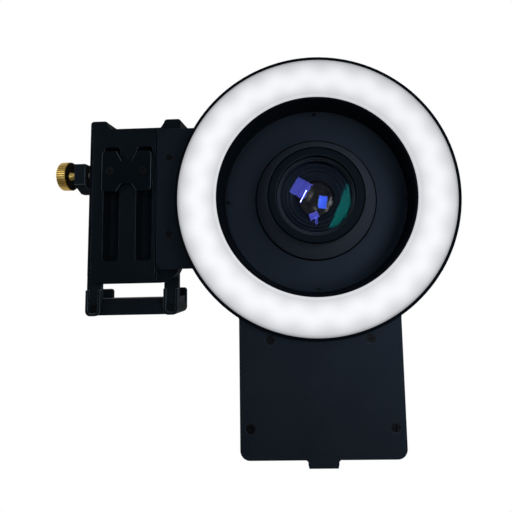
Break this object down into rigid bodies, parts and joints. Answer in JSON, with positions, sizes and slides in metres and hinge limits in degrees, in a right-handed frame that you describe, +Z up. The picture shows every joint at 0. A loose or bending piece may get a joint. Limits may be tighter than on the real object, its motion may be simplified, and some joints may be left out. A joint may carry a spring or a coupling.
{
  "type": "clip-on macro ring light",
  "caption": "Macro lens in the middle of a lit diffuser ring, with a control box below and a screw-locked sliding clamp at its side that grips a flat handheld device.",
  "frame": {"origin": "on the optical axis, in the front face of the lens front ring, at the mouth of the filter thread", "axes": "+Y along the optical axis from the front to the back, +Z up towards the top of the ring, +X to the right seen from the front, away from the clamp"},
  "size_m": [0.1765, 0.0345, 0.1709],
  "materials": {
    "shell_black": "fine satin moulding",
    "cover_black": "smooth satin moulding",
    "clamp_black": "satin moulding",
    "plate_black": "smooth black finish",
    "lens_black": "satin black anodised look",
    "inner_black": "dull black inside the lens",
    "coated_glass": "clear with a blue and teal coating",
    "diffuser_white": "milky and lit from behind",
    "reflector_white": "bright white",
    "board_white": "white solder mask",
    "lamp_cream": "cream lamp chips",
    "screw_black": "black screws",
    "screw_steel": "plain steel screws",
    "pad_rubber": "soft and dull",
    "cell_foil": "dull foil",
    "board_green": "green solder mask",
    "switch_black": "plain black",
    "port_steel": "folded steel",
    "lead_red": "insulated wire",
    "lead_dark": "insulated wire",
    "brass": "turned and knurled",
    "nylon": "plain nylon"
  },
  "bodies": {
    "root": {"front_ring": "shell_black", "diffuser": "diffuser_white", "reflector_tray": "reflector_white", "lamp_board": "board_white", "lamps": "lamp_cream", "rear_shell": "shell_black", "shell_screws": "screw_steel", "lens_plate": "plate_black", "plate_screws": "screw_black", "lens_barrel": "lens_black", "lens_front_ring": "lens_black", "front_glass": "coated_glass", "lens_spacer": "inner_black", "rear_glass": "coated_glass", "rear_retainer": "inner_black", "lens_lock_ring": "lens_black", "rear_gasket": "pad_rubber", "box_cover": "cover_black", "cover_screws": "screw_black", "battery": "cell_foil", "driver_board": "board_green", "board_screws": "screw_steel", "key_switch": "switch_black", "charging_port": "port_steel", "lamp_leads": "lead_red", "battery_leads": "lead_dark", "clamp_frame": "clamp_black", "frame_screws": "screw_black", "upper_pads": "pad_rubber"},
    "jaw": {"jaw_carriage": "clamp_black", "slider_plate": "clamp_black", "slider_screws": "screw_black", "jaw_bar": "clamp_black", "jaw_screws": "screw_black", "lower_pad": "pad_rubber", "back_pad": "pad_rubber", "lug_bush": "brass"},
    "lock_tip": {"lock_tip": "nylon"},
    "lock_screw": {"lock_screw": "brass"},
    "key": {"power_key": "cover_black"}
  },
  "joints": [
    {"name": "jaw_slide", "type": "slide", "parent": "root", "child": "jaw", "axis": [0, 0, 1], "range_m": [-0.031, 0.002]},
    {"name": "lock_feed", "type": "slide", "parent": "jaw", "child": "lock_tip", "axis": [1, 0, 0], "range_m": [-0.00141, 0]},
    {"name": "lock_turn", "type": "hinge", "parent": "lock_tip", "child": "lock_screw", "pos_m": [-0.114, 0.015, 0.0139], "axis": [1, 0, 0], "range_deg": [-720, 0]},
    {"name": "key_press", "type": "slide", "parent": "root", "child": "key", "axis": [0, 0, 1], "range_m": [0, 0.0008], "stiffness_N_per_m": 1500, "springref_m": -0.0003}
  ],
  "couplings": [
    {"joint": "lock_feed", "follows": "lock_turn", "m_per_rad": 0.0001114}
  ]
}
